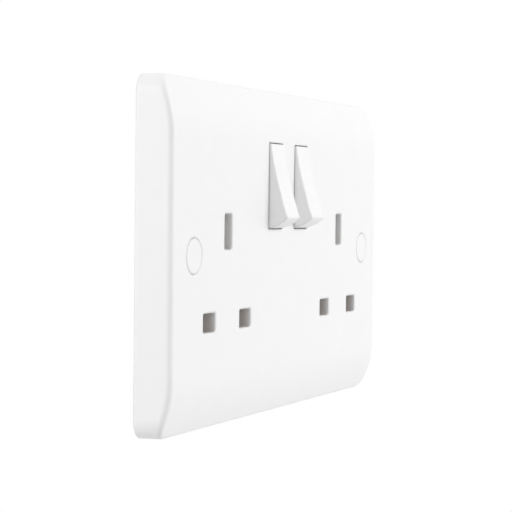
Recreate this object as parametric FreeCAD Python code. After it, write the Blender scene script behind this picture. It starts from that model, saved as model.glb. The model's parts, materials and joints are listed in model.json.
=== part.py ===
import FreeCAD, Part
import math
import os
from FreeCAD import Vector

# Switched twin socket for 13 A plugs with flat pins, to go on a two-gang wall box.
# Frame in millimetres: X to the right seen from the front, Y into the wall, Z up.
# The origin is the centre of the plate's back rim, which lies on the wall at Y = 0.

# Front plate
plate_width = 146.0
plate_height = 86.4
plate_depth = 9.56
plate_draft = 0.5            # the left and right walls lean in by this much at the front
back_corner = 4.5
front_corner = 5.4
rim_wall = 2.4
face_wall = 2.6
brow_height = 14.0           # height of the rolled part above and below the flat face
brow_radius = 26.0
edge_round = 1.3
hole_bevel = 0.25
sink = 0.5                   # how far a body runs into another that it is fused with
past = 1.0                   # how far a cutter stands out of the face that it cuts

# Plug geometry, fixed by the plug standard
socket_pitch = 80.0
earth_height = 5.73
line_drop = 22.2             # line and neutral row below the earth pin
line_offset = 11.1
line_hole = (7.4, 4.77)
earth_hole = (4.77, 8.93)
line_pin_height = 3.97
earth_pin = (3.97, 7.92)
hole_corner = 0.6
boss_wall = 1.4
line_boss_end = -5.0
earth_boss_end = -5.6

# Rockers
rocker_offset = 9.1
rocker_width = 9.2
rocker_radius = 11.5
rocker_pivot = (-7.0, 17.55)
rocker_tilt = 13.9
rocker_face_half = 60.6      # half angle of the front face, seen from the pivot
rocker_back_depth = 2.78     # how far behind the pivot the end walls reach
rocker_dish = 0.46
rocker_wall = 1.6
rocker_round = 0.45
rocker_gap = 0.2
trunnion_radius = 1.3
trunnion_reach = 1.7
bearing_gap = 0.05
bearing_rib = 1.7
bearing_half_height = 4.0
bearing_end = -4.4
rocker_web = 1.4

# Plunger in each rocker
plunger_radius = 1.65
plunger_reach = 8.2          # from the pivot to the tip of the nose
plunger_length = 7.2
plunger_guide = 4.5          # from the pivot to the open end of the guide tube
plunger_bore_depth = 3.5
plunger_travel = 1.0
guide_wall = 1.1
fit = 0.05

# Switch contacts
blade_thickness = 0.8
blade_width = 5.2
blade_half_length = 9.6
blade_edge_y = 2.3           # the knife edge that the blade rocks on
blade_tilt = 9.0
rivet_radius = 1.9
rivet_height = 1.0
rivet_place = 7.8
fixed_rivet_gap = 0.1

# Metal strip
strip = 0.8
clip_width = 6.0
clip_throat = 4.0
line_clip_mouth = 1.9
line_clip_back = 9.2
earth_clip_mouth = 1.9
earth_clip_throat = 4.4
earth_clip_height = 7.2
clip_flare = 1.1
neutral_run = (-13.6, -10.6)
supply_y = 10.6
supply_half = 3.0
neutral_behind_supply = 2.2
earth_run = (-3.0, 5.0)
earth_behind_neutral = 2.8
earth_behind_clip = 1.4
switched_over_rivet = 3.95   # from the centre of the fixed rivet up to the run
switched_end_y = 8.5
left_switched_x = -22.5
riser_inset = 5.2            # from the outermost clip edge to the rising earth strip
riser_to_switched = 3.3      # from the right-hand live strip to the rising earth strip
ring_radius = 4.4
ring_hole = 2.1
ring_y = -0.5

# Terminals
terminal_places = {"neutral": -16.5, "earth_left": -5.5, "earth_right": 5.5, "live": 16.5}
terminal_size = (8.0, 9.0, 9.0)
terminal_behind_earth = 1.6
terminal_top = -18.0
terminal_bevel = 0.6
terminal_seat = 1.5
wire_hole_radius = 2.5
wire_hole_inset = 4.8        # from the back of the terminal to the middle of the wire
wire_hole_depth = 7.0
wire_entry = (5.6, 5.6)
terminal_screw_radius = 1.7
terminal_screw_head = (2.6, 2.4)
terminal_screw_stand = 0.6   # from the back of the terminal to the screw head
terminal_screw_length = 2.7

# Shutters
shutter_front = -4.8
shutter_thickness = 2.0
shutter_half_width = 16.0
shutter_cover = 1.2          # how far the shutter overlaps each hole above and below
shutter_stem = 3.4
shutter_travel = 6.2
ramp_half_width = 3.1
ramp_front = -5.4
ramp_back = -0.4
ramp_foot = 1.45
slide_gap = 0.25

# Springs
shutter_spring_wire = 0.45
shutter_spring_radius = 1.8
shutter_spring_turns = 4
spring_shelf_inset = 10.2    # from the plate's bottom edge up to the shelf
spring_shelf_half = 4.0
peg_radius = 0.9
peg_length = 2.4
plunger_spring_wire = 0.4
plunger_spring_radius = 1.25
plunger_spring_turns = 3

# Caps and fixing screws
screw_offset = 60.3
cap_radius = 4.33
cap_gap = 0.06
cap_depth = 3.1
cap_skin = 1.3
cap_wall = 0.8
cap_recess = 3.2
cap_bevel = 0.1
screw_radius = 1.75
screw_neck = 1.55            # plain part of the screw, inside the plate
screw_hole = 2.1
screw_head_radius = 3.4
screw_head_height = 2.0
screw_head_gap = 0.3
screw_seat = -4.3
screw_tip = 22.0
boss_radius = 6.2
screw_slot = 1.0
head_bevel = 0.5

# Rear housing
housing_room = 0.6           # from the outermost clip to the wall
waist_room = 0.4             # from the rising earth strip to the wall beside the box lugs
waist_half_height = 8.5
run_room = 0.9               # from the live strips to the top wall
terminal_room = 3.0          # from the terminals to the outside of the bottom wall
floor_room = 0.2             # from the terminals to the floor
housing_wall = 1.8
housing_corner = 3.0
flange_front = -1.5
flange_back = 0.5
flange_margin = 1.5
flange_edge = 1.8            # from each screw post to the end of the flange
post_place = (60.0, 25.0)
post_radius = 3.2
housing_screw_radius = 1.2
housing_screw_head = (2.3, 1.5)
housing_screw_tip = -6.2
rib = 1.4
seat_half = 2.0              # half width of the seats that back up the contacts
seat_gap = 0.1
clear = 0.35


def block(x0, x1, y0, y1, z0, z1):
    return Part.makeBox(x1 - x0, y1 - y0, z1 - z0, Vector(x0, y0, z0))


def rod(radius, start, end):
    axis = end - start
    return Part.makeCylinder(radius, axis.Length, start, axis)


def rounded_wire(width, height, corner, y, x=0.0, z=0.0):
    """A rounded rectangle at depth y, seen from the front."""
    half_w = width / 2
    half_h = height / 2
    c = corner
    k = corner * (1 - math.sqrt(0.5))
    edges = []
    for side_x, side_z in ((1, 1), (-1, 1), (-1, -1), (1, -1)):
        across = Vector(x + side_x * half_w, y, z + side_z * (half_h - c))
        middle = Vector(x + side_x * (half_w - k), y, z + side_z * (half_h - k))
        along = Vector(x + side_x * (half_w - c), y, z + side_z * half_h)
        turn = (across, middle, along) if side_x == side_z else (along, middle, across)
        edges.append(turn)
    shapes = []
    for index, turn in enumerate(edges):
        shapes.append(Part.Arc(*turn).toShape())
        following = edges[(index + 1) % 4]
        shapes.append(Part.makeLine(turn[2], following[0]))
    return Part.Wire(shapes)


def rounded_slab(width, height, corner, y0, y1, x=0.0, z=0.0):
    face = Part.Face(rounded_wire(width, height, corner, y0, x, z))
    return face.extrude(Vector(0, y1 - y0, 0))


def fused(shapes):
    shapes = list(shapes)
    return shapes[0].fuse(shapes[1:]).removeSplitter() if len(shapes) > 1 else shapes[0]


def bent_strip(points, start, width):
    """Strip of one thickness along a line of points, extruded by the width."""
    middle = Part.makePolygon([Vector(*point) for point in points])
    outline = middle.makeOffset2D(strip / 2, join=0, fill=False, openResult=False)
    return Part.Face(outline).extrude(width).translated(start)


def turned(shape, pivot, degrees):
    copy = shape.copy()
    copy.rotate(Vector(0, *pivot), Vector(1, 0, 0), degrees)
    return copy


def coil(radius, wire, turns, length, start, axis):
    """A compression spring of flat-sided wire standing at start along axis."""
    path = Part.makeHelix((length - wire) / turns, length - wire, radius)
    half = wire / 2
    corners = [(radius - half, -half), (radius + half, -half), (radius + half, half),
               (radius - half, half), (radius - half, -half)]
    section = Part.makePolygon([Vector(across, 0, along) for across, along in corners])
    pipe = Part.Wire([path.Edges[0]]).makePipeShell([section], True, True)
    pipe.translate(Vector(0, 0, half))
    facing = FreeCAD.Placement(start, FreeCAD.Rotation(Vector(0, 0, 1), axis))
    pipe.Placement = facing.multiply(pipe.Placement)
    return pipe


face_y = -plate_depth
face_back = face_y + face_wall
line_height = earth_height - line_drop
flat_half_height = plate_height / 2 - brow_height
spring_shelf = spring_shelf_inset - plate_height / 2
outer_clip = socket_pitch / 2 + line_offset + clip_width / 2
housing_half_width = outer_clip + housing_room + housing_wall
riser_x = outer_clip - riser_inset
housing_waist = riser_x + strip / 2 + waist_room + housing_wall
right_switched_x = riser_x - riser_to_switched
flange_half_width = post_place[0] + post_radius + flange_edge
switched_run_z = rocker_pivot[1] + rivet_place + switched_over_rivet
neutral_run_y = supply_y + neutral_behind_supply
earth_run_y = neutral_run_y + earth_behind_neutral
earth_clip_back = earth_run_y - earth_behind_clip
terminal_back = earth_run_y + terminal_behind_earth
wire_hole_y = terminal_back - wire_hole_inset
terminal_screw_seat = terminal_back + terminal_screw_stand
terminal_screw_tip = terminal_screw_seat - terminal_screw_length
housing_top = switched_run_z + run_room + housing_wall
housing_bottom = terminal_top - terminal_size[2] - terminal_room
housing_back = terminal_back + floor_room + housing_wall
socket_centres = {"left": -socket_pitch / 2, "right": socket_pitch / 2}
rocker_centres = {"left": -rocker_offset, "right": rocker_offset}
screw_places = {"left": -screw_offset, "right": screw_offset}


def face_profile(inset):
    """Section of the plate seen from the side: flat face, rolled into the brows."""
    radius = brow_radius - inset
    centre_y = face_y + inset + radius
    rolls = []
    for side in (1, -1):
        roll = []
        for rise in (0, (brow_height + past) / 2, brow_height + past):
            front = centre_y - math.sqrt(radius ** 2 - rise ** 2)
            roll.append(Vector(0, front, side * (flat_half_height + rise)))
        rolls.append(roll)
    top, bottom = rolls
    behind = [Vector(0, plate_depth, roll[2].z) for roll in rolls]
    edges = [
        Part.makeLine(bottom[0], top[0]),
        Part.Arc(*top).toShape(),
        Part.makeLine(top[2], behind[0]),
        Part.makeLine(behind[0], behind[1]),
        Part.makeLine(behind[1], bottom[2]),
        Part.Arc(bottom[2], bottom[1], bottom[0]).toShape(),
    ]
    face = Part.Face(Part.Wire(edges))
    return face.extrude(Vector(2 * plate_width, 0, 0)).translated(Vector(-plate_width, 0, 0))


def on_outline(edge):
    """True for an edge that runs round the front surface where it meets the walls."""
    middle = edge.valueAt((edge.FirstParameter + edge.LastParameter) / 2)
    near_side = abs(middle.x) > plate_width / 2 - front_corner
    near_end = abs(middle.z) > plate_height / 2 - front_corner
    return edge.BoundBox.YMax < -rim_wall and (near_side or near_end)


def plate_shell():
    back = rounded_wire(plate_width, plate_height, back_corner, 0)
    front = rounded_wire(plate_width - 2 * plate_draft, plate_height, front_corner, face_y)
    body = Part.makeLoft([front, back], True, True).common(face_profile(0))
    body = body.makeFillet(edge_round, [edge for edge in body.Edges if on_outline(edge)])
    hollow = rounded_slab(plate_width - 2 * rim_wall, plate_height - 2 * rim_wall,
                          front_corner - rim_wall, face_y, past)
    return body.cut(hollow.common(face_profile(face_wall)))


def hole_places():
    """Centre, size and end of the guide of each pin hole."""
    places = []
    for centre in socket_centres.values():
        for side in (-1, 1):
            places.append((centre + side * line_offset, line_height, line_hole, line_boss_end))
        places.append((centre, earth_height, earth_hole, earth_boss_end))
    return places


def screw_bosses():
    """Bosses behind the screws, and the stepped holes for cap, head, shank and earth ring."""
    bosses = []
    cuts = []
    ring_front = ring_y - strip / 2 - seat_gap
    for x in screw_places.values():
        bosses.append(rod(boss_radius, Vector(x, face_back - sink, 0), Vector(x, 0, 0)))
        for radius, start, end in (
                (cap_radius + cap_gap, face_y - past, face_y + cap_recess),
                (screw_head_radius + screw_head_gap, face_y, screw_seat),
                (screw_hole, face_y, past),
                (ring_radius + slide_gap, ring_front, past)):
            cuts.append(rod(radius, Vector(x, start, 0), Vector(x, end, 0)))
        low, high = sorted((x, x - math.copysign(boss_radius + past, x)))
        tab_half = ring_tab_half() + slide_gap
        cuts.append(block(low, high, ring_front, past, -tab_half, tab_half))
    return bosses, cuts


def rocker_bearings():
    """Ribs beside the rocker windows with open seats for the trunnions."""
    ribs = []
    cuts = []
    pivot_y, pivot_z = rocker_pivot
    slot = trunnion_radius + bearing_gap
    for x in rocker_centres.values():
        pivot = Vector(x, pivot_y, pivot_z)
        half = Vector(rocker_width / 2 + rocker_gap, 0, 0)
        cuts.append(rod(rocker_radius + rocker_gap, pivot - half, pivot + half))
        for side in (-1, 1):
            inner = x + side * half.x
            low, high = sorted((inner, inner + side * bearing_rib))
            ribs.append(block(low, high, face_back - sink, bearing_end,
                              pivot_z - bearing_half_height, pivot_z + bearing_half_height))
            low -= past
            high += past
            cuts.append(rod(slot, Vector(low, pivot_y, pivot_z), Vector(high, pivot_y, pivot_z)))
            cuts.append(block(low, high, pivot_y, bearing_end + past, pivot_z - slot, pivot_z + slot))
    return ribs, cuts


def shutter_guides():
    """Two rails beside each shutter, and a shelf with a peg for its spring."""
    guides = []
    for centre in socket_centres.values():
        edge = shutter_half_width + slide_gap
        for side in (-1, 1):
            low, high = sorted((centre + side * edge, centre + side * (edge + rib)))
            guides.append(block(low, high, face_back - sink, shutter_back() + slide_gap,
                                shutter_bottom() - shutter_travel - past, shutter_top() + past))
        guides.append(block(centre - spring_shelf_half, centre + spring_shelf_half, face_back - sink,
                            flange_front - slide_gap, spring_shelf - rib, spring_shelf))
        guides.append(rod(peg_radius, Vector(centre, spring_y(), spring_shelf - sink),
                          Vector(centre, spring_y(), spring_shelf + peg_length)))
    return guides


def front_plate():
    added, removed = screw_bosses()
    ribs, windows = rocker_bearings()
    added += ribs + shutter_guides()
    removed += windows
    for x, z, size, end in hole_places():
        half_w = size[0] / 2 + boss_wall
        half_h = size[1] / 2 + boss_wall
        added.append(block(x - half_w, x + half_w, face_back - sink, end, z - half_h, z + half_h))
        removed.append(rounded_slab(size[0], size[1], hole_corner, face_y - past, past, x, z))
    for x, z in post_places():
        added.append(rod(post_radius, Vector(x, face_back - sink, z), Vector(x, flange_front, z)))
        removed.append(rod(housing_screw_radius + fit, Vector(x, housing_screw_tip - clear, z),
                           Vector(x, past, z)))
    plate = fused([plate_shell()] + added).cut(removed[0].fuse(removed[1:]))
    rims = []
    for face in plate.Faces:
        box = face.BoundBox
        if abs(box.YMin - face_y) < 0.001 and abs(box.YMax - face_y) < 0.001:
            for wire in face.Wires:
                if wire.BoundBox.ZLength < rocker_radius:
                    rims.extend(wire.Edges)
    return plate.makeChamfer(hole_bevel, rims)


def ring_tab_half():
    return -earth_run[0]


def spring_y():
    return shutter_front + shutter_thickness / 2


def shutter_back():
    return shutter_front + shutter_thickness


def shutter_top():
    return line_height + line_hole[1] / 2 + shutter_cover


def shutter_bottom():
    return line_height - line_hole[1] / 2 - shutter_cover


def post_places():
    return [(side_x * post_place[0], side_z * post_place[1])
            for side_x in (-1, 1) for side_z in (-1, 1)]


def on_circle(radius, degrees):
    """A point round the pivot, 0 degrees to the front and positive upwards."""
    angle = math.radians(degrees)
    return Vector(0, rocker_pivot[0] - radius * math.cos(angle),
                  rocker_pivot[1] + radius * math.sin(angle))


def rocker_section(inset, width):
    """Sector with a dished front; inset gives the hollow inside it."""
    radius = rocker_radius - inset
    front = rocker_radius * math.cos(math.radians(rocker_face_half)) - inset
    face_half = math.degrees(math.acos(front / radius))
    top = on_circle(radius, face_half)
    bottom = on_circle(radius, -face_half)
    depth = rocker_back_depth + 2 * inset
    back = math.degrees(math.acos(-depth / radius))
    dish = Vector(0, top.y + rocker_dish, rocker_pivot[1])
    side = (face_half + back) / 2
    edges = [
        Part.Arc(top, dish, bottom).toShape(),
        Part.Arc(bottom, on_circle(radius, -side), on_circle(radius, -back)).toShape(),
        Part.makeLine(on_circle(radius, -back), on_circle(radius, back)),
        Part.Arc(on_circle(radius, back), on_circle(radius, side), top).toShape(),
    ]
    return Part.Face(Part.Wire(edges)).extrude(Vector(width, 0, 0))


def rocker(x):
    half = rocker_width / 2
    shell = rocker_section(0, rocker_width).translated(Vector(x - half, 0, 0))
    front_edges = []
    for edge in shell.Edges:
        if edge.BoundBox.YMax < on_circle(rocker_radius, rocker_face_half).y + rocker_dish + 0.05:
            front_edges.append(edge)
    shell = shell.makeFillet(rocker_round, front_edges)
    hollow = rocker_section(rocker_wall, rocker_width - 2 * rocker_wall)
    shell = shell.cut(hollow.translated(Vector(x - half + rocker_wall, 0, 0)))
    pivot = Vector(x, *rocker_pivot)
    reach = Vector(half + trunnion_reach, 0, 0)
    tube_radius = plunger_radius + fit + guide_wall
    front = rocker_radius * math.cos(math.radians(rocker_face_half)) - rocker_wall
    tube = rod(tube_radius, pivot - Vector(0, front, 0), pivot + Vector(0, plunger_guide, 0))
    web_half = Vector(half - rocker_wall / 2, 0, rocker_web / 2)
    web = block(x - web_half.x, x + web_half.x, pivot.y - front, pivot.y + trunnion_radius,
                pivot.z - web_half.z, pivot.z + web_half.z)
    pins = [rod(trunnion_radius, pivot + Vector(side * (half - rocker_wall), 0, 0), pivot + reach * side)
            for side in (-1, 1)]
    bore = rod(plunger_radius + fit, pivot - Vector(0, plunger_bore_depth, 0),
               pivot + Vector(0, plunger_guide + 1, 0))
    whole = fused([shell, tube, web] + pins).cut(bore)
    return turned(whole, rocker_pivot, -rocker_tilt)


def plunger(x):
    pivot = Vector(x, *rocker_pivot)
    tip = pivot + Vector(0, plunger_reach - plunger_radius, 0)
    tail = pivot + Vector(0, plunger_reach - plunger_length, 0)
    shank = rod(plunger_radius, tail, tip).fuse(Part.makeSphere(plunger_radius, tip))
    return turned(shank.removeSplitter(), rocker_pivot, -rocker_tilt)


def plunger_spring(x):
    pivot = Vector(x, *rocker_pivot)
    start = pivot - Vector(0, plunger_bore_depth, 0)
    length = plunger_bore_depth + plunger_reach - plunger_length
    spring = coil(plunger_spring_radius, plunger_spring_wire, plunger_spring_turns, length, start,
                  Vector(0, 1, 0))
    return turned(spring, rocker_pivot, -rocker_tilt)


def moving_contact(x):
    """See-saw blade on its knife edge, with a silver-faced rivet at the upper end."""
    pivot_z = rocker_pivot[1]
    half = blade_width / 2
    blade = block(x - half, x + half, blade_edge_y - blade_thickness, blade_edge_y,
                  pivot_z - blade_half_length, pivot_z + blade_half_length)
    ends = [edge for edge in blade.Edges
            if abs(edge.BoundBox.ZMin - edge.BoundBox.ZMax) < 0.001 and edge.BoundBox.YLength > 0.5]
    blade = blade.makeFillet(1.2, ends)
    place = pivot_z + rivet_place
    button = rod(rivet_radius, Vector(x, blade_edge_y - 0.2, place),
                 Vector(x, blade_edge_y + rivet_height, place))
    return turned(blade.fuse(button), (blade_edge_y, pivot_z), blade_tilt)


def fixed_rivet_front():
    """Where the face of the fixed rivet lies, just clear of the moving one when it is on."""
    angle = math.radians(blade_tilt)
    outer = rivet_place + rivet_radius
    return blade_edge_y + rivet_height * math.cos(angle) + outer * math.sin(angle) + fixed_rivet_gap


def spring_clip(mouth, throat, back, pin_size, across):
    """Two leaves that pinch a pin; the section runs into the wall from the mouth."""
    pinch = pin_size / 2 + strip / 2
    flare = pinch + clip_flare
    wide = pinch + 0.5
    points = []
    for y, offset in ((mouth, flare), (throat, pinch), (back, wide), (back, -wide),
                      (throat, -pinch), (mouth, -flare)):
        points.append((0, y, offset) if across == "height" else (offset, y, 0))
    return points


def line_clip(x):
    points = spring_clip(line_clip_mouth, clip_throat, line_clip_back, line_pin_height, "height")
    return bent_strip(points, Vector(x - clip_width / 2, 0, line_height), Vector(clip_width, 0, 0))


def earth_clip(x):
    points = spring_clip(earth_clip_mouth, earth_clip_throat, earth_clip_back, earth_pin[0], "width")
    low = earth_height - earth_clip_height / 2
    return bent_strip(points, Vector(x, 0, low), Vector(0, 0, earth_clip_height))


def switched_contact(name):
    """Fixed switch contact, its strip and the live clip of one socket."""
    switch_x = rocker_centres[name]
    socket_x = socket_centres[name] + line_offset
    drop_x = left_switched_x if name == "left" else right_switched_x
    inner_x = switch_x - math.copysign(blade_width / 2, switch_x)
    front = fixed_rivet_front() + rivet_height
    low, high = sorted((switch_x - blade_width / 2, switch_x + blade_width / 2))
    tab = block(low, high, front, front + strip, rocker_pivot[1] + rivet_place - 3, switched_run_z)
    depth = Vector(0, switched_end_y - front, 0)
    join_z = line_height + line_pin_height / 2 + strip + 0.1
    clip_side = socket_x - math.copysign(clip_width / 2 - 1, socket_x - drop_x)
    run = bent_strip([(inner_x, 0, switched_run_z), (drop_x, 0, switched_run_z), (drop_x, 0, join_z),
                      (clip_side, 0, join_z)], Vector(0, front, 0), depth)
    button = rod(rivet_radius, Vector(switch_x, fixed_rivet_front(), rocker_pivot[1] + rivet_place),
                 Vector(switch_x, front + 0.2, rocker_pivot[1] + rivet_place))
    return fused([run, tab, button, line_clip(socket_x)])


def supply_bar():
    """Live strip from its terminal up to the two knife edges."""
    pivot_z = rocker_pivot[1]
    x = terminal_places["live"]
    y0 = supply_y - strip / 2
    y1 = supply_y + strip / 2
    pieces = [
        block(x - supply_half, x + supply_half, y0, y1, terminal_top - terminal_seat,
              pivot_z + supply_half),
        block(-rocker_offset - supply_half, x + supply_half, y0, y1, pivot_z - supply_half,
              pivot_z + supply_half),
    ]
    for centre in rocker_centres.values():
        half = blade_width / 2
        knife = Part.Face(Part.makePolygon([
            Vector(centre - half, y1, pivot_z - 0.6),
            Vector(centre - half, blade_edge_y + 1.6, pivot_z - 0.6),
            Vector(centre - half, blade_edge_y + fit, pivot_z),
            Vector(centre - half, blade_edge_y + 1.6, pivot_z + 0.6),
            Vector(centre - half, y1, pivot_z + 0.6),
            Vector(centre - half, y1, pivot_z - 0.6),
        ]))
        pieces.append(knife.extrude(Vector(blade_width, 0, 0)))
    return fused(pieces)


def neutral_bar():
    """Neutral strip that joins both neutral clips behind everything else."""
    left_x = socket_centres["left"] - line_offset
    right_x = socket_centres["right"] - line_offset
    half = clip_width / 2
    low, high = neutral_run
    step = neutral_run_y - line_clip_back
    run = bent_strip([(left_x - half, line_clip_back, 0), (left_x + half, line_clip_back, 0),
                      (left_x + half + step, neutral_run_y, 0),
                      (right_x - half - step, neutral_run_y, 0),
                      (right_x - half, line_clip_back, 0), (right_x + half, line_clip_back, 0)],
                     Vector(0, 0, low), Vector(0, 0, high - low))
    pieces = [run]
    for x in (left_x, right_x):
        pieces.append(line_clip(x))
        pieces.append(block(x - half, x + half, line_clip_back - strip / 2, line_clip_back + strip / 2,
                            line_height, high))
    x = terminal_places["neutral"]
    pieces.append(block(x - supply_half, x + supply_half, neutral_run_y - strip / 2,
                        neutral_run_y + strip / 2, terminal_top - terminal_seat, high))
    return fused(pieces)


def earth_strap():
    """Earth strip behind both earth clips, with a ring under each fixing screw."""
    low, high = earth_run
    end = screw_offset
    path = [(-end, ring_y, 0), (-riser_x, ring_y, 0), (-riser_x, earth_run_y, 0),
            (riser_x, earth_run_y, 0), (riser_x, ring_y, 0), (end, ring_y, 0)]
    run = bent_strip(path, Vector(0, 0, low), Vector(0, 0, high - low))
    trims = []
    rings = []
    holes = []
    y0 = ring_y - strip / 2
    y1 = ring_y + strip / 2
    for x in screw_places.values():
        outward = math.copysign(1, x)
        near, far = sorted((outward * (riser_x + strip / 2 + 0.1), outward * (end + 5)))
        trims.append(block(near, far, y0 - 1, y1 + 1, -low, high + 1))
        near, far = sorted((x, outward * (end + 5)))
        trims.append(block(near, far, y0 - 1, y1 + 1, low - 1, high + 1))
        rings.append(rod(ring_radius, Vector(x, y0, 0), Vector(x, y1, 0)))
        holes.append(rod(ring_hole, Vector(x, y0 - 1, 0), Vector(x, y1 + 1, 0)))
    pieces = [run.cut(trims[0].fuse(trims[1:]))] + rings
    for name in ("earth_left", "earth_right"):
        x = terminal_places[name]
        pieces.append(block(x - supply_half, x + supply_half, earth_run_y - strip / 2,
                            earth_run_y + strip / 2, terminal_top - terminal_seat, high))
    return fused(pieces).cut(holes[0].fuse(holes[1:]))


def terminal(x, strip_y):
    """Brass block with a wire hole from below and a seat for its strip on top."""
    wide, deep, tall = terminal_size
    body = block(x - wide / 2, x + wide / 2, terminal_back - deep, terminal_back,
                 terminal_top - tall, terminal_top)
    upright = [edge for edge in body.Edges if edge.BoundBox.ZLength > tall - 0.1]
    body = body.makeChamfer(terminal_bevel, upright)
    bottom = terminal_top - tall
    wire_hole = rod(wire_hole_radius, Vector(x, wire_hole_y, bottom - 1),
                    Vector(x, wire_hole_y, bottom + wire_hole_depth))
    seat = block(x - supply_half, x + supply_half, strip_y - strip / 2, strip_y + strip / 2,
                 terminal_top - terminal_seat, terminal_top + 1)
    middle = terminal_top - tall / 2
    thread = rod(terminal_screw_radius + fit, Vector(x, wire_hole_y, middle),
                 Vector(x, terminal_back + 1, middle))
    return body.cut(wire_hole.fuse([seat, thread]))


def slotted_screw(x, z, radius, head, seat, tip, slot_side):
    """Round-headed screw along Y; its head stands on the slot side of the seat."""
    head_radius, head_height = head
    top = seat + slot_side * head_height
    cap = rod(head_radius, Vector(x, seat, z), Vector(x, top, z))
    rim = [edge for edge in cap.Edges if abs(edge.BoundBox.YMin - top) < 0.001
           and abs(edge.BoundBox.YMax - top) < 0.001]
    cap = cap.makeChamfer(head_bevel, rim)
    shank = rod(radius, Vector(x, seat, z), Vector(x, tip, z))
    deep, shallow = sorted((top + slot_side, top - slot_side * head_height * 0.45))
    slot = block(x - head_radius - 1, x + head_radius + 1, deep, shallow,
                 z - screw_slot / 2, z + screw_slot / 2)
    return cap.fuse(shank).removeSplitter().cut(slot)


def terminal_screws():
    middle = terminal_top - terminal_size[2] / 2
    return Part.makeCompound([
        slotted_screw(x, middle, terminal_screw_radius, terminal_screw_head, terminal_screw_seat,
                      terminal_screw_tip, 1) for x in terminal_places.values()])


def housing_screws():
    return Part.makeCompound([
        slotted_screw(x, z, housing_screw_radius, housing_screw_head, flange_back,
                      housing_screw_tip, 1) for x, z in post_places()])


def fixing_screw(x):
    """The neck is thinner than the thread, which starts at the wall."""
    neck = slotted_screw(x, 0, screw_neck, (screw_head_radius, screw_head_height), screw_seat, 0, -1)
    thread = rod(screw_radius, Vector(x, 0, 0), Vector(x, screw_tip, 0))
    return neck.fuse(thread)


def screw_cap(x):
    """Snap-in cover over a fixing screw, a shallow cup with its floor to the front."""
    cup = rod(cap_radius, Vector(x, face_y, 0), Vector(x, face_y + cap_depth, 0))
    front = [edge for edge in cup.Edges if edge.BoundBox.YMax < face_y + 0.01]
    cup = cup.makeChamfer(cap_bevel, front)
    inside = rod(cap_radius - cap_wall, Vector(x, face_y + cap_skin, 0),
                 Vector(x, face_y + cap_depth + 1, 0))
    return cup.cut(inside)


def shutter(centre):
    """Sliding shutter: a bar over the line and neutral holes, a stem and the earth ramp."""
    bar = block(centre - shutter_half_width, centre + shutter_half_width, shutter_front,
                shutter_back(), shutter_bottom(), shutter_top())
    corners = [edge for edge in bar.Edges if edge.BoundBox.YLength > shutter_thickness - 0.1]
    bar = bar.makeFillet(1.0, corners)
    stem = block(centre - shutter_stem, centre + shutter_stem, shutter_front, shutter_back(),
                 shutter_top() - 1, ramp_foot)
    head = ramp_foot + shutter_travel
    section = Part.makePolygon([
        Vector(centre - ramp_half_width, ramp_front, ramp_foot - 1.2),
        Vector(centre - ramp_half_width, ramp_front, ramp_foot),
        Vector(centre - ramp_half_width, ramp_back, head),
        Vector(centre - ramp_half_width, ramp_back + 1.2, head),
        Vector(centre - ramp_half_width, ramp_back + 1.2, head - 3.4),
        Vector(centre - ramp_half_width, shutter_back(), ramp_foot - 3.5),
        Vector(centre - ramp_half_width, shutter_front, ramp_foot - 1.2),
        Vector(centre - ramp_half_width, ramp_front, ramp_foot - 1.2),
    ])
    ramp = Part.Face(section).extrude(Vector(2 * ramp_half_width, 0, 0))
    peg = rod(peg_radius, Vector(centre, spring_y(), shutter_bottom() + 0.5),
              Vector(centre, spring_y(), shutter_bottom() - peg_length))
    return fused([bar, stem, ramp, peg])


def shutter_spring(centre):
    length = shutter_bottom() - spring_shelf
    return coil(shutter_spring_radius, shutter_spring_wire, shutter_spring_turns, length,
                Vector(centre, spring_y(), spring_shelf), Vector(0, 0, 1))


def housing_block(grow, y0, y1, half_width):
    """Outline of the housing, waisted beside the lugs; grow widens or narrows it."""
    height = housing_top - housing_bottom + 2 * grow
    middle = (housing_top + housing_bottom) / 2
    body = rounded_slab(2 * (half_width + grow), height, housing_corner + min(grow, 0) / 2, y0, y1,
                        0, middle)
    for side in (-1, 1):
        low, high = sorted((side * (housing_waist + min(grow, 0)), side * (flange_half_width + past)))
        reach = waist_half_height - min(grow, 0)
        body = body.cut(block(low, high, y0 - 1, y1 + 1, -reach, reach))
    return body


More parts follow.
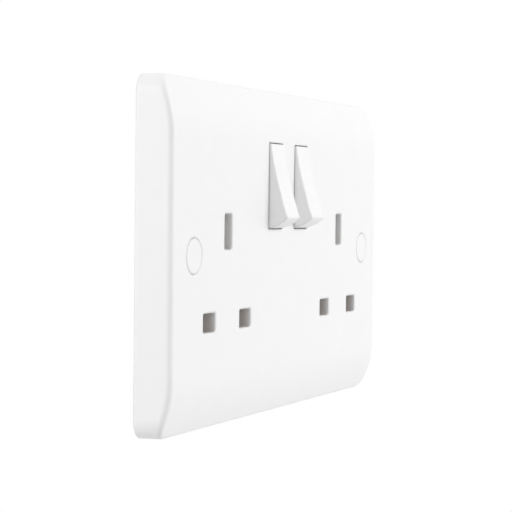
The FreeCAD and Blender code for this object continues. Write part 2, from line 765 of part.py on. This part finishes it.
def housing_ribs():
    """Walls and seats that hold the contacts, rising from the floor of the housing."""
    floor = housing_back - housing_wall
    pivot_y, pivot_z = rocker_pivot
    ribs = []
    wall_place = rocker_width / 2 + rocker_gap + bearing_rib / 2
    keeper_tip = pivot_y + trunnion_radius + bearing_gap
    for centre in rocker_centres.values():
        for side in (-1, 1):
            x = centre + side * wall_place
            ribs.append(block(x - rib / 2, x + rib / 2, flange_front, floor, pivot_z - 9, pivot_z + 9))
            ribs.append(block(x - rib / 2, x + rib / 2, keeper_tip, floor, pivot_z - 1.2, pivot_z + 1.2))
        ribs.append(block(centre - seat_half, centre + seat_half, supply_y + strip / 2 + seat_gap,
                          floor, pivot_z - seat_half, pivot_z + seat_half))
        back = fixed_rivet_front() + rivet_height + strip + seat_gap
        place = pivot_z + rivet_place
        ribs.append(block(centre - seat_half, centre + seat_half, back, floor, place - seat_half,
                          place + seat_half))
    for centre in socket_centres.values():
        ribs.append(block(centre - 1.5, centre + 1.5, shutter_back() + slide_gap, floor,
                          shutter_bottom() + slide_gap, shutter_top() + 0.5))
        for side in (-1, 1):
            x = centre + side * line_offset
            ribs.append(block(x - seat_half, x + seat_half, line_clip_back + strip / 2 + seat_gap,
                              floor, line_height - seat_half, line_height + seat_half))
        ribs.append(block(centre - seat_half, centre + seat_half,
                          earth_run_y + strip / 2 + seat_gap, floor, *earth_run))
    edge = terminal_size[0] / 2 + seat_gap
    for x in terminal_places.values():
        for side in (-1, 1):
            low, high = sorted((x + side * edge, x + side * (edge + rib - 0.1)))
            ribs.append(block(low, high, terminal_back - terminal_size[1], floor + 0.5,
                              housing_bottom + 1, terminal_top - 1))
    return ribs


def rear_housing():
    """Moulded tray behind the plate that carries all the metal."""
    tray = housing_block(0, flange_front, housing_back, housing_half_width)
    outer = [edge for edge in tray.Edges if edge.BoundBox.YMin > housing_back - 0.01]
    tray = tray.makeFillet(1.0, outer)
    flange = housing_block(flange_margin, flange_front, flange_back,
                           flange_half_width - flange_margin)
    inside = housing_block(-housing_wall, flange_front - 1, housing_back - housing_wall,
                           housing_half_width)
    body = fused([tray, flange]).cut(inside)
    body = fused([body] + housing_ribs())
    gone = []
    middle = terminal_top - terminal_size[2] / 2
    for x in terminal_places.values():
        gone.append(rod(terminal_screw_head[0] + slide_gap, Vector(x, terminal_back, middle),
                        Vector(x, housing_back + 1, middle)))
        gone.append(block(x - wire_entry[0] / 2, x + wire_entry[0] / 2, wire_hole_y - wire_entry[1] / 2,
                          wire_hole_y + wire_entry[1] / 2, housing_bottom - past,
                          terminal_top - terminal_size[2]))
    for x, z in post_places():
        gone.append(rod(housing_screw_radius + slide_gap, Vector(x, flange_front - past, z),
                        Vector(x, flange_back + past, z)))
    low, high = neutral_run
    gone.append(block(socket_centres["left"] - line_offset, socket_centres["right"] - line_offset,
                      neutral_run_y - strip, neutral_run_y + strip, low - clear, high + clear))
    low, high = earth_run
    gone.append(block(-riser_x - strip / 2 - 0.2, riser_x + strip / 2 + 0.2, earth_run_y - strip,
                      earth_run_y + strip / 2 + seat_gap / 2, low - clear, high + clear))
    gone.append(block(-housing_half_width, housing_half_width, flange_front - 1,
                      ring_y + strip / 2 + 0.2, low - 0.2, -low + 0.2))
    pivot_z = rocker_pivot[1]
    gone.append(block(-rocker_offset - supply_half - clear, terminal_places["live"] + supply_half + clear,
                      supply_y - strip / 2 - clear, supply_y + strip / 2 + seat_gap,
                      terminal_top - terminal_seat, pivot_z + supply_half + clear))
    return body.cut(gone[0].fuse(gone[1:]))


def save(name, shape):
    shape.exportStep("parts/" + name + ".step")
    solids = shape.Solids
    volume = sum(solid.Volume for solid in solids)
    print(name, len(solids), "solid(s)", round(volume, 2), "mm3 valid", shape.isValid())


os.makedirs("parts", exist_ok=True)
save("front_plate", front_plate())
save("rear_housing", rear_housing())
save("housing_screws", housing_screws())
save("supply_bar", supply_bar())
save("neutral_bar", neutral_bar())
save("earth_strap", earth_strap())
save("live_terminal", terminal(terminal_places["live"], supply_y))
save("neutral_terminal", terminal(terminal_places["neutral"], neutral_run_y))
save("earth_terminals", Part.makeCompound([terminal(terminal_places[name], earth_run_y)
                                           for name in ("earth_left", "earth_right")]))
save("terminal_screws", terminal_screws())
for side, x in rocker_centres.items():
    save(side + "_rocker", rocker(x))
    save(side + "_plunger", plunger(x))
    save(side + "_plunger_spring", plunger_spring(x))
    save(side + "_moving_contact", moving_contact(x))
    save(side + "_switched_contact", switched_contact(side))
for side, x in socket_centres.items():
    save(side + "_shutter", shutter(x))
    save(side + "_shutter_spring", shutter_spring(x))
    save(side + "_earth_clip", earth_clip(x))
for side, x in screw_places.items():
    save(side + "_screw_cap", screw_cap(x))
    save(side + "_fixing_screw", fixing_screw(x))
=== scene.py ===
import json
import math

import bpy
from mathutils import Euler, Matrix, Vector


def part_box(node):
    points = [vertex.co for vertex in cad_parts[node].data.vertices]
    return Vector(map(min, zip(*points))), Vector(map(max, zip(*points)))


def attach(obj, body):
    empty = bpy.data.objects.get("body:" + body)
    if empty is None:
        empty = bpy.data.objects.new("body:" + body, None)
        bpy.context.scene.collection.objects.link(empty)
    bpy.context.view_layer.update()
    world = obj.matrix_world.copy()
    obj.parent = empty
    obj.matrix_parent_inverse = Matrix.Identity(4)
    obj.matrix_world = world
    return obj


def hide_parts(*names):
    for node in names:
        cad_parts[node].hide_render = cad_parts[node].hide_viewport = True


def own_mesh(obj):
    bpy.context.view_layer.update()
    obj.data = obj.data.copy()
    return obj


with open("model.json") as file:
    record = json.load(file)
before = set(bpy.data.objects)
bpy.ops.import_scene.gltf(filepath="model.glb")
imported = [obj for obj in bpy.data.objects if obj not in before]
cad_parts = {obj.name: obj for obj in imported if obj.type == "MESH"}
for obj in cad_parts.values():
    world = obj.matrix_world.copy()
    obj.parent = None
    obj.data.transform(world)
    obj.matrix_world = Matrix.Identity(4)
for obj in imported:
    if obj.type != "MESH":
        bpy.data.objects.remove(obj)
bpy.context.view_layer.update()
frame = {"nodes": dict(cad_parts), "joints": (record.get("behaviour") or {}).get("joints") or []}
nodes = frame["nodes"]


# Front plate
# One compression moulding in white urea, a hard thermoset with a polished mould face.
# Two screws hold it to the wall box; the pin holes and rocker windows are moulded in.
metre_mm = 1000


def linear(hex_colour):
    """A colour as a screen shows it, turned into the renderer's linear values."""
    shown = [int(hex_colour[start:start + 2], 16) / 255 for start in (1, 3, 5)]
    return tuple(c / 12.92 if c <= 0.04045 else ((c + 0.055) / 1.055) ** 2.4 for c in shown) + (1.0,)


def add(holder, kind, settings, links=()):
    """One node of a material or of the world, with its settings and what feeds it."""
    node = holder.node_tree.nodes.new(kind)
    for name, value in settings.items():
        if isinstance(name, str) and hasattr(node, name):
            setattr(node, name, value)
        else:
            node.inputs[name].default_value = value
    for name, source, output in links:
        holder.node_tree.links.new(source.outputs[output], node.inputs[name])
    return node


def begin(name):
    """A new empty material, and the place on the piece that its patterns follow."""
    material = bpy.data.materials.new(name)
    material.use_nodes = True
    material.node_tree.nodes.clear()
    return material, add(material, "ShaderNodeTexCoord", {})


def finish_material(material, shader):
    """Sends the shader to the material's surface."""
    add(material, "ShaderNodeOutputMaterial", {}, [("Surface", shader, 0)])
    return material


def dress(name, material):
    """Gives a CAD node its finish in place of the plain one."""
    mesh = nodes[name].data
    mesh.materials.clear()
    mesh.materials.append(material)


def urea_moulding(name, pale, deep, painted_recess_shade="#B8B2AE"):
    """Urea moulding: its filler shows as a faint cloud and its mould face as a soft gloss.

    Its edges are shaded round by a bevel of the normals, and its recesses get painted shade, darker and
    warmer.
    """
    cloud_mm = 6.0
    ripple_mm = 2.2
    ripple_height = 0.00002
    mould_edge = 0.0009
    painted_shade_reach = 0.008
    painted_shade_sky = (0.22, 0.48)
    polish = (0.28, 0.34)
    material, place = begin(name)
    cloud = add(material, "ShaderNodeTexNoise", {"Scale": metre_mm / cloud_mm, "Detail": 3.0},
                [("Vector", place, "Object")])
    ripple = add(material, "ShaderNodeTexNoise", {"Scale": metre_mm / ripple_mm, "Detail": 1.0},
                 [("Vector", place, "Object")])
    colour = add(material, "ShaderNodeMix", {"data_type": "RGBA", 6: linear(pale), 7: linear(deep)},
                 [("Factor", cloud, "Fac")])
    # Painted shade: where ambient occlusion finds the surround hidden, the recess colour is mixed into the
    # base colour.
    sky_seen = add(material, "ShaderNodeAmbientOcclusion", {"samples": 8, "Distance": painted_shade_reach})
    in_light = add(material, "ShaderNodeMapRange",
                   {"From Min": painted_shade_sky[0], "From Max": painted_shade_sky[1]}, [("Value", sky_seen, "AO")])
    # depth is the base colour with the painted recess shade mixed in.
    depth = add(material, "ShaderNodeMix", {"data_type": "RGBA", 6: linear(painted_recess_shade)},
                [("Factor", in_light, "Result"), (7, colour, 2)])
    gloss = add(material, "ShaderNodeMapRange", {"To Min": polish[0], "To Max": polish[1]},
                [("Value", cloud, "Fac")])
    edge = add(material, "ShaderNodeBevel", {"samples": 6, "Radius": mould_edge})
    skin = add(material, "ShaderNodeBump", {"Strength": 0.15, "Distance": ripple_height},
               [("Height", ripple, "Fac"), ("Normal", edge, "Normal")])
    shader = add(material, "ShaderNodeBsdfPrincipled", {"IOR": 1.55},
                 [("Base Color", depth, 2), ("Roughness", gloss, "Result"), ("Normal", skin, "Normal")])
    return finish_material(material, shader)


# The plate's urea takes the default painted recess shade.
dress("front_plate", urea_moulding("urea_white", "#F6F6F6", "#F3F3F3"))


# Screw caps
# Small snap-in cups of the same urea as the plate, one over each fixing screw.
# They fit closely, and their urea gets only a very pale painted shade in its recesses, so hardly any shade
# shows round them.
# The last colour is the painted recess shade, kept almost white for the caps.
cap_white = urea_moulding("urea_white_cap", "#F6F6F6", "#F3F3F3", "#EFEFEE")
for side in ("left", "right"):
    dress(side + "_screw_cap", cap_white)


# Rockers
# Two rockers in the same white urea, a touch paler where fingers keep them clean.
# Each turns on trunnions behind the plate and stands out at the bottom when it is off.
# The rockers' urea takes the default painted recess shade, darker next to the plate.
rocker_white = urea_moulding("urea_white_rocker", "#F7F7F7", "#F4F4F4")
for side in ("left", "right"):
    dress(side + "_rocker", rocker_white)


# Shutters
# Injection-moulded nylon sliders behind the pin holes, matt and a touch greyer than the plate.
# They slide in guides of the plate and stand on their springs.
def moulded_plastic(name, pale, deep, grain_mm):
    """Plastic straight from a spark-eroded mould: slightly waxy, with a fine matt grain.

    The grain is drawn coarser than the real one, so that it shows.
    """
    grain_height = 0.00003
    material, place = begin(name)
    grain = add(material, "ShaderNodeTexNoise", {"Scale": metre_mm / grain_mm, "Detail": 2.0},
                [("Vector", place, "Object")])
    colour = add(material, "ShaderNodeMix", {"data_type": "RGBA", 6: linear(pale), 7: linear(deep)},
                 [("Factor", grain, "Fac")])
    skin = add(material, "ShaderNodeBump", {"Strength": 0.3, "Distance": grain_height},
               [("Height", grain, "Fac")])
    shader = add(material, "ShaderNodeBsdfPrincipled", {"IOR": 1.53, "Roughness": 0.5},
                 [("Base Color", colour, 2), ("Normal", skin, "Normal")])
    return finish_material(material, shader)


shutter_nylon = moulded_plastic("shutter_nylon", "#E4E3E0", "#DAD9D5", 0.5)
for side in ("left", "right"):
    dress(side + "_shutter", shutter_nylon)


# Plungers
# Natural nylon pins with a round nose, a little yellower than the shutters.
# Each slides in its rocker's bore and presses on the blade behind it.
plunger_nylon = moulded_plastic("natural_nylon", "#E8E2D2", "#DDD6C4", 0.4)
for side in ("left", "right"):
    dress(side + "_plunger", plunger_nylon)


# Rear housing
# A tray injection-moulded in pale glass-filled plastic, with a matt grain from the mould.
# It carries the metal, and four screws from behind hold it on the plate's posts.
dress("rear_housing", moulded_plastic("glass_filled_plastic", "#DCDCD8", "#CFCFCB", 0.8))


# Strips, clips and contacts
# Pressed from rolled brass strip, with a soft satin and no lacquer.
# They lie in pockets of the housing, and the clips spring on to the plug's pins.
def rolled_brass(name, bright, dull, streak_mm, rough):
    """Rolled brass: streaks along the strip from the rolls, and slightly uneven tarnish.

    The streaks are drawn coarser than the real ones, so that they show.
    """
    streak_stretch = (0.08, 1.0, 1.0)
    streak_height = 0.00002
    tarnish_mm = 5.0
    material, place = begin(name)
    stretch = add(material, "ShaderNodeMapping", {"Scale": streak_stretch}, [("Vector", place, "Object")])
    streak = add(material, "ShaderNodeTexNoise", {"Scale": metre_mm / streak_mm, "Detail": 4.0},
                 [("Vector", stretch, "Vector")])
    tarnish = add(material, "ShaderNodeTexNoise", {"Scale": metre_mm / tarnish_mm, "Detail": 3.0},
                  [("Vector", place, "Object")])
    colour = add(material, "ShaderNodeMix", {"data_type": "RGBA", 6: linear(bright), 7: linear(dull)},
                 [("Factor", tarnish, "Fac")])
    gloss = add(material, "ShaderNodeMapRange", {"To Min": rough - 0.07, "To Max": rough + 0.1},
                [("Value", streak, "Fac")])
    skin = add(material, "ShaderNodeBump", {"Strength": 0.25, "Distance": streak_height},
               [("Height", streak, "Fac")])
    shader = add(material, "ShaderNodeBsdfPrincipled", {"Metallic": 1.0},
                 [("Base Color", colour, 2), ("Roughness", gloss, "Result"), ("Normal", skin, "Normal")])
    return finish_material(material, shader)


strip_brass = rolled_brass("rolled_brass", "#D9BE86", "#BF9F66", 0.35, 0.36)
for name in ("supply_bar", "neutral_bar", "earth_strap", "left_earth_clip", "right_earth_clip",
             "left_moving_contact", "right_moving_contact", "left_switched_contact",
             "right_switched_contact"):
    dress(name, strip_brass)


# Terminals
# Blocks cut from drawn brass bar, drilled for the wires and tapped for their screws.
# Each sits in a pocket of the housing at the end of its strip.
terminal_brass = rolled_brass("drawn_brass", "#D2B578", "#B8975C", 0.6, 0.35)
for name in ("live_terminal", "neutral_terminal", "earth_terminals"):
    dress(name, terminal_brass)


# Housing and terminal screws
# Small slotted steel screws, turned and zinc-plated.
# Four hold the housing to the plate, and four clamp the wires in the terminals.
def plated_steel(name, bright, dull, crystal_mm, rough):
    """Zinc plating on steel: a bluish satin with small crystals, drawn coarse enough to show."""
    material, place = begin(name)
    crystal = add(material, "ShaderNodeTexVoronoi", {"Scale": metre_mm / crystal_mm},
                  [("Vector", place, "Object")])
    colour = add(material, "ShaderNodeMix", {"data_type": "RGBA", 6: linear(bright), 7: linear(dull)},
                 [("Factor", crystal, "Distance")])
    gloss = add(material, "ShaderNodeMapRange", {"To Min": rough - 0.05, "To Max": rough + 0.1},
                [("Value", crystal, "Distance")])
    shader = add(material, "ShaderNodeBsdfPrincipled", {"Metallic": 1.0},
                 [("Base Color", colour, 2), ("Roughness", gloss, "Result")])
    return finish_material(material, shader)


zinc_steel = plated_steel("zinc_plated_steel", "#C9CCD1", "#A9ADB3", 0.3, 0.34)
for name in ("housing_screws", "terminal_screws"):
    dress(name, zinc_steel)


# Fixing screws
# Zinc-plated M3.5 screws with slotted heads under the caps, which hold the plate to the wall box.
# The neck is plain inside the plate, and the rolled thread starts at the wall.
screw_neck = 0.00155
thread_pitch = 0.0006
thread_crest = 0.00175
thread_root = 0.00142
thread_run_out = 0.0009
thread_sides = 24
rows_per_turn = 6


def smooth_mesh(name, corners, faces, material):
    """A new object with a smooth mesh, in the part's own frame."""
    mesh = bpy.data.meshes.new(name)
    mesh.from_pydata(corners, [], faces)
    mesh.polygons.foreach_set("use_smooth", [True] * len(mesh.polygons))
    mesh.materials.append(material)
    piece = bpy.data.objects.new(name, mesh)
    bpy.context.scene.collection.objects.link(piece)
    return piece


def tube_faces(first, rings, sides):
    """Faces between rings of corners that are numbered ring by ring."""
    faces = []
    for ring in range(rings):
        for index in range(sides):
            here = first + ring * sides + index
            beside = first + ring * sides + (index + 1) % sides
            faces.append((here, here + sides, beside + sides, beside))
    return faces


def head_and_neck(solid):
    """Corners and faces of a screw in front of the wall: its slotted head and plain neck."""
    neck_end = -0.0001
    placed = [solid.matrix_world @ vertex.co for vertex in solid.data.vertices]
    faces = [tuple(face.vertices) for face in solid.data.polygons
             if min(placed[vertex].y for vertex in face.vertices) < neck_end]
    used = sorted({vertex for face in faces for vertex in face})
    order = {vertex: index for index, vertex in enumerate(used)}
    return [placed[vertex] for vertex in used], [tuple(order[vertex] for vertex in face) for face in faces]


def rolled_thread(middle, length, first):
    """Corners and faces of a closed shank whose thread runs out at both ends.

    It starts at the wall with the neck's radius, and its corners are numbered from first.
    """
    rows = rows_per_turn * round(length / thread_pitch)
    corners = []
    for row in range(rows + 1):
        depth = length * row / rows
        nearest_end = min(depth, length - depth)
        for index in range(thread_sides):
            angle = 2 * math.pi * index / thread_sides
            phase = (depth / thread_pitch + index / thread_sides) % 1
            height = (thread_crest - thread_root) * (1 - abs(2 * phase - 1))
            radius = thread_root + height * min(nearest_end / thread_run_out, 1) if row else screw_neck
            corners.append(middle + Vector((radius * math.cos(angle), depth, radius * math.sin(angle))))
    last = first + rows * thread_sides
    faces = tube_faces(first, rows, thread_sides)
    faces.append(tuple(range(last, last + thread_sides))[::-1])
    faces.append(tuple(range(first, first + thread_sides)))
    return corners, faces


for side in ("left", "right"):
    name = side + "_fixing_screw"
    low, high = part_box(name)
    middle = Vector(((low[0] + high[0]) / 2, 0, (low[2] + high[2]) / 2))
    corners, faces = head_and_neck(nodes[name])
    thread_corners, thread_faces = rolled_thread(middle, high[1], len(corners))
    screw = smooth_mesh(side + "_threaded_screw", corners + thread_corners, faces + thread_faces, zinc_steel)
    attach(screw, "root")
    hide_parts(name)


# Shutter springs
# Seven turns of spring wire under each shutter, on a peg of the plate's shelf.
# The coil is drawn at rest and stays fixed on the shelf; in the real socket it shortens as a plug's earth
# pin pushes the shutter down.
spring_steel = plated_steel("spring_wire", "#A8A9AB", "#85878A", 0.2, 0.35)
shutter_coil_radius = 0.0018
shutter_coil_wire = 0.00045
shutter_coil_turns = 7


def wound_wire(radius, wire, turns, length, start, axis):
    """Corners and faces of a coil of round wire whose first and last turns are closed."""
    steps_per_turn = 32
    wire_sides = 10
    up = Vector(axis).normalized()
    side_way = up.orthogonal().normalized()
    front_way = up.cross(side_way)
    pitch = (length - 3 * wire) / turns
    steps = steps_per_turn * (turns + 2)
    corners = []
    for step in range(steps + 1):
        turn = step / steps_per_turn
        rise = wire / 2 + wire * min(turn, 1) + pitch * min(max(turn - 1, 0), turns)
        rise += wire * max(turn - 1 - turns, 0)
        angle = 2 * math.pi * turn
        outward = side_way * math.cos(angle) + front_way * math.sin(angle)
        middle = Vector(start) + outward * radius + up * rise
        for index in range(wire_sides):
            place = 2 * math.pi * index / wire_sides
            corners.append(middle + (outward * math.cos(place) + up * math.sin(place)) * wire / 2)
    ends = [tuple(range(wire_sides)), tuple(range(steps * wire_sides, (steps + 1) * wire_sides))[::-1]]
    return corners, ends + tube_faces(0, steps, wire_sides)


for side in ("left", "right"):
    low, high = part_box(side + "_shutter_spring")
    foot = ((low[0] + high[0]) / 2, (low[1] + high[1]) / 2, low[2])
    length = high[2] - low[2]
    corners, faces = wound_wire(shutter_coil_radius, shutter_coil_wire, shutter_coil_turns, length,
                                foot, (0, 0, 1))
    coil = smooth_mesh(side + "_shutter_coil", corners, faces, spring_steel)
    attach(coil, "root")
    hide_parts(side + "_shutter_spring")
    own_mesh(coil)


# Plunger springs
# Five turns of the same spring wire in the bore of each rocker.
# They push the plunger on to the blade; each coil is drawn at one length and rides with its rocker, without
# shortening as the plunger slides in.
rocker_turn = math.radians(13.9)
bore_axis = Vector((0, math.cos(rocker_turn), -math.sin(rocker_turn)))
bore_depth = 0.0035
plunger_coil_radius = 0.00125
plunger_coil_wire = 0.0004
plunger_coil_turns = 5
plunger_coil_length = 0.0045
for joint in frame["joints"]:
    if joint["name"].endswith("_rocker_tilt"):
        side = joint["name"].split("_")[0]
        foot = Vector(joint["pos_m"]) - bore_axis * bore_depth
        corners, faces = wound_wire(plunger_coil_radius, plunger_coil_wire, plunger_coil_turns,
                                    plunger_coil_length, foot, bore_axis)
        coil = smooth_mesh(side + "_plunger_coil", corners, faces, spring_steel)
        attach(coil, side + "_rocker")
        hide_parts(side + "_plunger_spring")
        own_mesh(coil)


# Floor
# A wide sheet of pale paper well under the socket, which hangs free on its wall.
# The camera and the gloss see it as white, and it keeps the socket's shadow.
floor_drop = 0.5
floor_half = 3.0
fibre_mm = 4.0
paper, paper_place = begin("white_paper")
fibre = add(paper, "ShaderNodeTexNoise", {"Scale": metre_mm / fibre_mm}, [("Vector", paper_place, "Object")])
paper_colour = add(paper, "ShaderNodeMix",
                   {"data_type": "RGBA", 6: linear("#CFCFCF"), 7: linear("#CBCBCB")},
                   [("Factor", fibre, "Fac")])
paper_diffuse = add(paper, "ShaderNodeBsdfDiffuse", {}, [("Color", paper_colour, 2)])
paper_rays = add(paper, "ShaderNodeLightPath", {})
paper_shown = add(paper, "ShaderNodeMath", {"operation": "MAXIMUM"},
                  [(0, paper_rays, "Is Camera Ray"), (1, paper_rays, "Is Glossy Ray")])
paper_glow = add(paper, "ShaderNodeEmission", {"Color": linear("#CACACA")}, [("Strength", paper_shown, 0)])
lit_paper = add(paper, "ShaderNodeAddShader", {}, [(0, paper_diffuse, 0), (1, paper_glow, 0)])
floor = smooth_mesh("studio_floor", [(x * floor_half, y * floor_half, -floor_drop)
                                     for x, y in ((-1, -1), (1, -1), (1, 1), (-1, 1))],
                    [(0, 1, 2, 3)], finish_material(paper, lit_paper))


# Wall
# A white painted wall with a cut-out for the wall box, so that the socket's back is out of sight.
# It shows from the front alone and casts nothing, so the back shows in views from behind.
wall_half = 3.0
wall_gap = 0.0002
box_opening = (0.0665, 0.0365)
wall_corners = [(-wall_half, wall_gap, -floor_drop), (wall_half, wall_gap, -floor_drop),
                (wall_half, wall_gap, wall_half), (-wall_half, wall_gap, wall_half)]
box_corners = [(x * box_opening[0], wall_gap, z * box_opening[1])
               for x, z in ((-1, -1), (1, -1), (1, 1), (-1, 1))]
paint, paint_place = begin("white_wall_paint")
paint_rays = add(paint, "ShaderNodeLightPath", {})
paint_side = add(paint, "ShaderNodeNewGeometry", {})
from_front = add(paint, "ShaderNodeMath", {"operation": "SUBTRACT"},
                 [(0, paint_rays, "Is Camera Ray"), (1, paint_side, "Backfacing")])
paint_glow = add(paint, "ShaderNodeEmission", {})
paint_clear = add(paint, "ShaderNodeBsdfTransparent", {})
paint_seen = add(paint, "ShaderNodeMixShader", {},
                 [("Fac", from_front, 0), (1, paint_clear, 0), (2, paint_glow, 0)])
wall = smooth_mesh("studio_wall", wall_corners + box_corners,
                   [(0, 1, 5, 4), (1, 2, 6, 5), (2, 3, 7, 6), (3, 0, 4, 7)],
                   finish_material(paint, paint_seen))
wall.visible_diffuse = False
wall.visible_glossy = False
wall.visible_transmission = False
wall.visible_shadow = False


# Studio light
# A white surround that the camera and the gloss see at full white, and that lights softly.
# Two soft boxes stand in front above and at the left behind, so that the forms show.
ambient = 0.7
world = bpy.data.worlds.new("white_surround")
bpy.context.scene.world = world
world.use_nodes = True
world.node_tree.nodes.clear()
sky_rays = add(world, "ShaderNodeLightPath", {})
direct = add(world, "ShaderNodeMath", {"operation": "MAXIMUM"},
             [(0, sky_rays, "Is Camera Ray"), (1, sky_rays, "Is Glossy Ray")])
shown = add(world, "ShaderNodeMath", {"operation": "MAXIMUM"},
            [(0, direct, 0), (1, sky_rays, "Is Transmission Ray")])
level = add(world, "ShaderNodeMapRange", {"To Min": ambient, "To Max": 1.0}, [("Value", shown, 0)])
white = add(world, "ShaderNodeBackground", {"Color": linear("#FFFFFF")}, [("Strength", level, "Result")])
add(world, "ShaderNodeOutputWorld", {}, [("Surface", white, 0)])


def soft_box(name, place, size, watts):
    """A square soft box that faces the socket."""
    data = bpy.data.lights.new(name, "AREA")
    data.shape = "SQUARE"
    data.size = size
    data.energy = watts
    lamp = bpy.data.objects.new(name, data)
    bpy.context.scene.collection.objects.link(lamp)
    lamp.location = place
    lamp.rotation_mode = "QUATERNION"
    lamp.rotation_quaternion = (-Vector(place)).to_track_quat("-Z", "Y")


soft_box("front_top_box", (0.35, -1.0, 0.36), 0.8, 5.7)
soft_box("back_left_box", (-0.75, 0.62, 0.25), 0.7, 4.5)


# Camera
# At the photograph's place, worked out from the plug's standard sizes and the plate's corners.
# It stands close to the plate's left end and looks along it, a little down.
camera_place = (-0.4332, -0.1818, 0.0117)
camera_turn = 67.26
camera_drop = 1.597
camera_roll = 0.607
focal_pixels = 1719.8
photo_pixels = 512
sensor_mm = 36.0
camera_data = bpy.data.cameras.new("photo_camera")
camera_data.sensor_width = sensor_mm
camera_data.lens = focal_pixels / photo_pixels * sensor_mm
camera = bpy.data.objects.new("photo_camera", camera_data)
bpy.context.scene.collection.objects.link(camera)
camera.location = camera_place
upright = Euler((math.radians(90 - camera_drop), 0, -math.radians(camera_turn)), "XYZ").to_matrix()
roll = Matrix.Rotation(math.radians(camera_roll), 3, "Z")
camera.rotation_mode = "QUATERNION"
camera.rotation_quaternion = (upright @ roll).to_quaternion()
bpy.context.scene.camera = camera
bpy.context.scene.view_settings.view_transform = "Standard"
